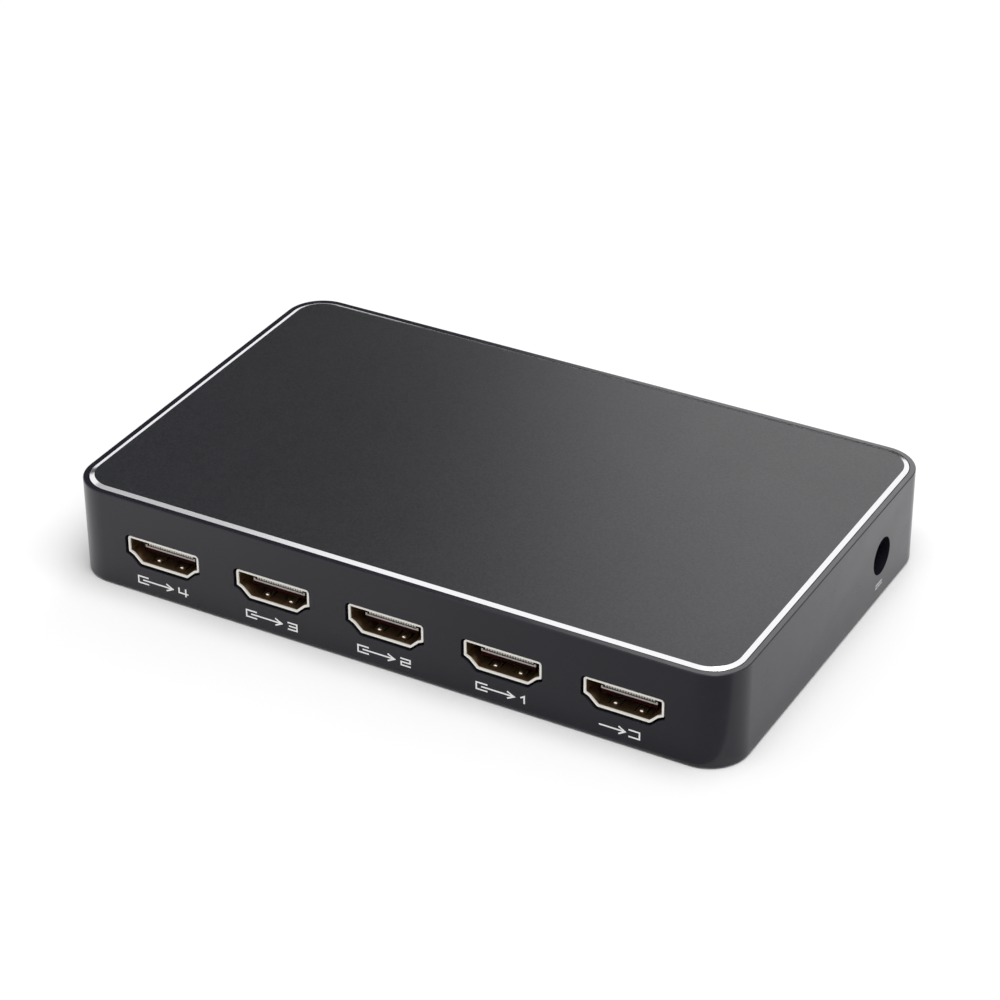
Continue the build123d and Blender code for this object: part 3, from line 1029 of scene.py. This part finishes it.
@dataclass
class VideoSocket:
    """One video socket: its stamped shell, its insulator and its contacts.

    Attributes:
        name: the socket's place in the row.
        lip: rounding of the shell's edges.
        dimple_radius: radius of the bump on a spring finger.
        dimple_height: height of the bump.
        dimple_side: distance of the bumps from the socket's middle.
        dimple_depth: distance of the bumps behind the mouth.
        floor_height: height of the finger under the bump above the shell's lowest point.
    """

    name: str
    lip: float = 0.13 * MM
    dimple_radius: float = 0.42 * MM
    dimple_height: float = 0.3 * MM
    dimple_side: float = 2.45 * MM
    dimple_depth: float = 2.1 * MM
    floor_height: float = 2.96 * MM

    def build_dimples(self) -> None:
        """The pressed bumps on the two spring fingers.

        Each is a dome: its radius goes with the sine of an angle and its height with the cosine.
        """
        low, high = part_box(f"socket_shell_{self.name}")
        turn = np.linspace(0.0, np.pi / 2, 10)[::-1]
        pole = 0.01 * MM
        radius = pole + self.dimple_radius * np.sin(turn)
        height = low.z + self.floor_height + self.dimple_height * np.cos(turn)
        surface = Surface()
        for side in (-1, 1):
            centre = ((low.x + high.x) / 2 + side * self.dimple_side, low.y + self.dimple_depth)
            surface.solid(lathe(np.column_stack((radius, height)), centre, steps=32))
        keep(surface.piece(f"dimples_{self.name}", sharp=50.0), DIMPLE)

    def build(self) -> None:
        """Round the shell's edges and dress the three parts."""
        self.build_dimples()
        shell = refined_copy(f"socket_shell_{self.name}", f"shell_{self.name}", self.lip)
        keep(shell, GOLD, [f"socket_shell_{self.name}"])
        dress_nodes(INSULATOR, f"socket_insulator_{self.name}")
        dress_nodes(CONTACT, f"socket_contacts_{self.name}")


@dataclass
class PowerSocket:
    """The power jack: a moulded body with a centre pin and two spring blades.

    Attributes:
        mouth: rounding of the body's edges.
        pin: rounding of the pin's edges.
    """

    mouth: float = 0.2 * MM
    pin: float = 0.15 * MM

    def build(self) -> None:
        """Round the body and the pin, and dress all four parts."""
        keep(refined_copy("jack_body", "jack_shell", self.mouth), JACK, ["jack_body"])
        keep(refined_copy("jack_pin", "jack_centre", self.pin), TERMINAL, ["jack_pin"])
        dress_nodes(TERMINAL, "jack_spring", "jack_switch_contact")


class Electronics:
    """The circuit board and what is soldered to it."""

    def build(self) -> None:
        """Dress the board and its components."""
        dress_nodes(BOARD, "circuit_board")
        dress_nodes(CHIP, "splitter_chip", "memory_chip", "surge_arrays", "series_resistors")
        dress_nodes(CHIP, "power_inductor", "regulators")
        dress_nodes(PAD, "thermal_pad")
        dress_nodes(SINK, "heat_sink")
        dress_nodes(CERAMIC, "chip_capacitors")
        dress_nodes(CAN, "crystal", "storage_capacitor")


# ---- Printed marks


class Wall(Enum):
    """A wall that carries a printed mark."""

    FRONT = "front"
    RIGHT = "right"


class Symbol(Enum):
    """Marks as strokes in their own box: distances across and up, in heights of the mark."""

    FOUR = (((0.0, 1.0), (0.0, 0.34), (1.35, 0.34)), ((1.05, 1.0), (1.05, 0.0)))
    THREE = (((0.0, 1.0), (1.3, 1.0), (1.3, 0.0), (0.0, 0.0)), ((0.2, 0.5), (1.3, 0.5)))
    TWO = (((0.0, 1.0), (1.3, 1.0), (1.3, 0.5), (0.0, 0.5), (0.0, 0.0), (1.3, 0.0)),)
    ONE = (((0.0, 0.72), (0.45, 1.0), (0.45, 0.0)),)
    OUTWARD = (
        ((1.5, 1.0), (0.0, 1.0), (0.0, 0.0), (1.5, 0.0)),
        ((0.8, 0.5), (5.4, 0.5)),
        ((4.5, 0.98), (5.4, 0.5), (4.5, 0.02)),
    )
    INWARD = (
        ((4.1, 1.0), (5.5, 1.0), (5.5, 0.0), (4.1, 0.0)),
        ((0.0, 0.5), (3.5, 0.5)),
        ((2.7, 1.0), (3.5, 0.5), (2.7, 0.0)),
    )
    DIRECT_CURRENT = (
        ((0.0, 0.9), (3.2, 0.9)),
        ((0.0, 0.2), (0.8, 0.2)),
        ((1.2, 0.2), (2.0, 0.2)),
        ((2.4, 0.2), (3.2, 0.2)),
    )


@dataclass
class PrintedMark:
    """White marks printed on a wall, each a flat ribbon along a stroke.

    Attributes:
        name: name of the piece.
        wall: the wall that carries it.
        middle: place of the middle of the mark along the wall.
        foot: height of the mark's lower edge.
        height: height of the mark.
        symbols: symbols from left to right.
        line: width of a stroke.
        gap: space between symbols, in heights of the mark.
        film: thickness of the print above the wall.
        layer: how much thicker each further stroke of a symbol is, where strokes cross.
        sunk: how far the print reaches into the wall.
    """

    name: str
    wall: Wall
    middle: float
    foot: float
    height: float
    symbols: Sequence[Symbol]
    line: float = 0.29 * MM
    gap: float = 1.0
    film: float = 0.012 * MM
    layer: float = 0.0015 * MM
    sunk: float = 0.01 * MM

    def placed(self, across: Array, up: Array, out: Array) -> Array:
        """Take distances across, up and out of the wall to points of the model.

        Args:
            across: distance from the mark's middle, to the right of someone facing the wall.
            up: height above the ground.
            out: distance out of the wall's face.

        Returns:
            The points.
        """
        low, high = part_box("housing")
        if self.wall is Wall.FRONT:
            return np.stack((self.middle + across, low.y - out, up), axis=-1)
        return np.stack((high.x + out, self.middle + across, up), axis=-1)

    def ribbon(self, surface: Surface, stroke: Array, film: float) -> None:
        """Carry a flat rectangular section along a stroke.

        At a corner, the section is turned to the mean of the two directions and widened by one
        over the cosine of half the turn, so that the ribbon keeps its width.

        Args:
            surface: the mesh that takes the ribbon.
            stroke: points of the stroke's middle, across and up.
            film: thickness of the print above the wall.
        """
        way = np.diff(stroke, axis=0)
        way /= np.linalg.norm(way, axis=1)[:, None]
        before = np.concatenate((way[:1], way))
        after = np.concatenate((way, way[-1:]))
        normal_before = before[:, ::-1] * (-1.0, 1.0)
        normal_after = after[:, ::-1] * (-1.0, 1.0)
        mean = normal_before + normal_after
        mean /= np.linalg.norm(mean, axis=1)[:, None]
        widen = 1.0 / np.sum(mean * normal_after, axis=1)
        side = mean * widen[:, None] * self.line / 2
        ends = stroke.copy()
        ends[0] -= way[0] * self.line / 2
        ends[-1] += way[-1] * self.line / 2
        left, right = ends + side, ends - side
        section = [(left, -self.sunk), (right, -self.sunk), (right, film), (left, film)]
        rings = [self.placed(p[:, 0], p[:, 1], np.full(len(p), out)) for p, out in section]
        surface.solid(np.stack(rings, axis=1))

    def build(self) -> None:
        """Lay the symbols side by side, centred on the middle."""
        widths = [max(x for stroke in symbol.value for x, _ in stroke) for symbol in self.symbols]
        total = sum(widths) + self.gap * (len(widths) - 1)
        start = -total / 2
        surface = Surface()
        for symbol, width in zip(self.symbols, widths):
            for layer, stroke in enumerate(symbol.value):
                points = np.array(stroke) + (start, 0.0)
                points = points * self.height + (0.0, self.foot)
                self.ribbon(surface, points, self.film + layer * self.layer)
            start += width + self.gap
        keep(surface.piece(self.name, sharp=30.0), PRINT)


# ---- Studio


@dataclass(frozen=True)
class Lamp:
    """A soft lamp with a flat face.

    Attributes:
        name: name of the lamp.
        place: where it hangs.
        aim: the point that it faces.
        size: lengths of its sides.
        power: its power in watts.
    """

    name: str
    place: Point
    aim: Point
    size: tuple[float, float]
    power: float

    def build(self) -> None:
        """Hang the lamp and turn it to its aim."""
        data = bpy.data.lights.new(self.name, "AREA")
        data.shape = "RECTANGLE"
        data.size, data.size_y = self.size
        data.energy = self.power
        lamp = bpy.data.objects.new(self.name, data)
        lamp.location = self.place
        way = Vector(self.aim) - Vector(self.place)
        lamp.rotation_euler = way.to_track_quat("-Z", "Y").to_euler()
        bpy.context.scene.collection.objects.link(lamp)


@dataclass(frozen=True)
class Card:
    """A flat card that only reflections show, with a tone that runs from one end to the other.

    Attributes:
        name: name of the card.
        corner: one of its corners.
        side: the way from that corner along one side.
        rise: the way from that corner along the other side.
        tone: colour at the corner's end.
        far_tone: colour at the other end of the side.
    """

    name: str
    corner: Point
    side: Point
    rise: Point
    tone: Colour
    far_tone: Colour

    def paint(self) -> bpy.types.Material:
        """The card's material.

        The tone's share is the distance from the corner along the side, over the side's length.

        Returns:
            The node material.
        """
        sheet = Sheet(self.name)
        patch, patch_shade = 80.0 * MM, 0.95
        patches = sheet.span(sheet.noise(patch, 2.0), 0.0, 1.0)
        near = sheet.mix(patches, self.tone, shaded(self.tone, patch_shade))
        way = Vector(self.side) / Vector(self.side).length_squared
        start = way.dot(Vector(self.corner))
        along = sheet.add("ShaderNodeVectorMath")
        along.operation = "DOT_PRODUCT"
        along.inputs[1].default_value = way
        sheet.join(sheet.place, along.inputs[0])
        share = sheet.ramp(along.outputs["Value"], start, start + 1.0, 0.0, 1.0)
        tone = sheet.mix(share, near, self.far_tone)
        sheet.set(Base_Color=tone, Roughness=MATT, Specular_IOR_Level=0.1)
        return sheet.material

    def build(self) -> None:
        """Make the card: its corner plus a share of its side plus a share of its rise."""
        along, up = np.meshgrid(np.linspace(0.0, 1.0, 5), np.linspace(0.0, 1.0, 5))
        corner, side, rise = map(np.array, (self.corner, self.side, self.rise))
        surface = Surface()
        surface.grid(corner + along[..., None] * side + up[..., None] * rise, closed=False)
        card = surface.piece(self.name)
        card.data.materials.append(self.paint())
        # Hidden from the camera, from diffuse light and from shadows: the card is a painted
        # reflection.
        card.visible_camera = False
        card.visible_diffuse = False
        card.visible_shadow = False


DARK: Colour = (0.02, 0.02, 0.022)
DIM: Colour = (0.30, 0.30, 0.30)
GREY: Colour = (0.62, 0.62, 0.62)
SOFT: Colour = (0.80, 0.795, 0.80)
PALE: Colour = (0.96, 0.955, 0.96)

LAMPS = (
    Lamp("lamp_above", (0.32, -0.15, 1.4), (0.0, 0.0, 0.0), (1.2, 1.2), 18.0),
    Lamp("lamp_behind", (-0.1, 0.516, 0.333), (0.12, 0.07, 0.019), (0.25, 0.25), 0.36),
)
# Painted reflections: these cards only show in reflections. The dark ones behind, one of them lying
# on the floor, darken what the plate, the rim and the walls reflect, and the grey one above on the
# left dulls it. card_front and card_right lie on the floor and paint shade into it as the walls
# reflect it, card_front darker towards the right and card_right darker towards the front.
CARDS = (
    Card("card_behind", (-0.62, 0.35, 0.12), (0.44, 0.0, 0.0), (0.0, 0.0, 0.35), DARK, DARK),
    Card("card_low", (-0.20, 0.35, 0.0), (0.22, 0.0, 0.0), (0.0, 0.0, 0.07), DARK, DARK),
    Card("card_floor", (-0.20, 0.15, 0.0004), (0.25, 0.0, 0.0), (0.0, 0.2, 0.0), DARK, DARK),
    Card("card_left", (-0.55, -0.05, 0.5), (0.26, 0.0, 0.0), (0.0, 0.35, 0.0), GREY, GREY),
    Card("card_front", (-0.06, -0.0415, 0.0004), (0.16, 0.0, 0.0), (0.0, -0.09, 0.0), PALE, DIM),
    Card("card_right", (0.0665, -0.04, 0.0004), (0.0, 0.075, 0.0), (0.09, 0.0, 0.0), SOFT, PALE),
)


@dataclass
class Studio:
    """Floor, background, lamps, cards and camera.

    Attributes:
        lens: focal length in millimetres on a sensor 36 mm wide.
        eye: place of the camera.
        right: the camera's axis to the right of the picture.
        up: the camera's axis to the top of the picture.
        back: the camera's axis away from the object.
        floor_rings: radii of the floor's rings.
        floor_colour: colour of the floor.
        ambient: strength of the even light from all round.
    """

    lens: float = 115.157
    eye: Point = (240.645 * MM, -430.517 * MM, 315.639 * MM)
    right: Point = (0.8743, 0.48537, -0.00472)
    up: Point = (-0.25059, 0.45967, 0.852)
    back: Point = (0.4157, -0.74372, 0.52352)
    floor_rings: Sequence[float] = (0.05, 0.3, 1.0, 4.0)
    floor_colour: Colour = PALE
    ambient: float = 0.4

    def build_camera(self) -> None:
        """Stand the camera where the photograph was taken from."""
        data = bpy.data.cameras.new("camera")
        data.sensor_width = 36.0
        data.lens = self.lens
        data.clip_start = 0.01
        camera = bpy.data.objects.new("camera", data)
        turn = Matrix((self.right, self.up, self.back)).transposed()
        camera.matrix_world = Matrix.Translation(self.eye) @ turn.to_4x4()
        bpy.context.scene.collection.objects.link(camera)
        bpy.context.scene.camera = camera

    def build_floor(self) -> None:
        """A wide round floor under the feet: rings of points round the origin."""
        profile = np.column_stack((self.floor_rings, np.zeros(len(self.floor_rings))))
        surface = Surface()
        index = surface.grid(lathe(profile, (0.0, 0.0), steps=64))
        surface.cap(index[0])
        floor = surface.piece("floor")
        sheet = Sheet("floor_white")
        patch, patch_shade = 60.0 * MM, 0.99
        patches = sheet.span(sheet.noise(patch, 2.0), 0.0, 1.0)
        colour = sheet.mix(patches, self.floor_colour, shaded(self.floor_colour, patch_shade))
        sheet.set(Base_Color=colour, Roughness=MATT, Specular_IOR_Level=0.0)
        floor.data.materials.append(sheet.material)
        if floor.data.polygons[0].normal.z < 0:
            floor.data.flip_normals()

    def build_world(self) -> None:
        """Even light from all round, with a white background for the camera and for reflections."""
        world = bpy.data.worlds.new("studio")
        world.use_nodes = True
        tree = world.node_tree
        background = tree.nodes["Background"]
        path = tree.nodes.new("ShaderNodeLightPath")
        white = path.outputs["Is Camera Ray"]
        for ray in ("Is Glossy Ray", "Is Transmission Ray"):
            either = tree.nodes.new("ShaderNodeMath")
            either.operation = "MAXIMUM"
            tree.links.new(white, either.inputs[0])
            tree.links.new(path.outputs[ray], either.inputs[1])
            white = either.outputs[0]
        strength = tree.nodes.new("ShaderNodeMapRange")
        strength.inputs["To Min"].default_value = self.ambient
        strength.inputs["To Max"].default_value = 1.0
        tree.links.new(white, strength.inputs["Value"])
        background.inputs["Color"].default_value = (1.0, 1.0, 1.0, 1.0)
        tree.links.new(strength.outputs["Result"], background.inputs["Strength"])
        bpy.context.scene.world = world

    def build(self) -> None:
        """Make the camera, the floor, the background, the lamps and the cards."""
        bpy.context.scene.view_settings.view_transform = "Standard"
        self.build_camera()
        self.build_floor()
        self.build_world()
        for thing in (*LAMPS, *CARDS):
            thing.build()


# ---- Everything together

# Foot, height and distance to the left of the marks, and the power mark's stroke.
MARK_FOOT, MARK_HEIGHT = 2.3 * MM, 1.36 * MM
INWARD_ASIDE, OUTWARD_ASIDE = 0.45 * MM, 0.25 * MM
POWER_FOOT, POWER_HEIGHT = 2.85 * MM, 0.85 * MM
POWER_ASIDE, POWER_LINE = 0.6 * MM, 0.16 * MM


def printed_marks() -> list[PrintedMark]:
    """The marks under the sockets and under the power hole.

    Returns:
        One mark for each socket, and one for the power hole.
    """
    digits = (Symbol.FOUR, Symbol.THREE, Symbol.TWO, Symbol.ONE, None)
    marks = []
    for name, digit in zip(SOCKETS, digits):
        low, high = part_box(f"socket_shell_{name}")
        symbols, aside = (Symbol.OUTWARD, digit), OUTWARD_ASIDE
        if digit is None:
            symbols, aside = (Symbol.INWARD,), INWARD_ASIDE
        middle = (low.x + high.x) / 2 - aside
        place = (Wall.FRONT, middle, MARK_FOOT, MARK_HEIGHT)
        marks.append(PrintedMark(f"mark_{name}", *place, symbols))
    low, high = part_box("jack_pin")
    middle = (low.y + high.y) / 2 - POWER_ASIDE
    symbols = (Symbol.DIRECT_CURRENT,)
    place = (Wall.RIGHT, middle, POWER_FOOT, POWER_HEIGHT)
    return [*marks, PrintedMark("mark_power", *place, symbols, POWER_LINE)]


def corners(box: tuple[Vector, Vector]) -> list[list[float]]:
    """A box's two corners as plain lists of numbers."""
    return [list(corner) for corner in box]


def main() -> None:
    """Build every part of the scene in order."""
    logging.basicConfig(level=logging.INFO, format="%(message)s")
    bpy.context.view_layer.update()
    Studio().build()
    Case().build()
    for name in SOCKETS:
        VideoSocket(name).build()
    PowerSocket().build()
    Electronics().build()
    for mark in printed_marks():
        mark.build()


if __name__ == "__main__":
    main()
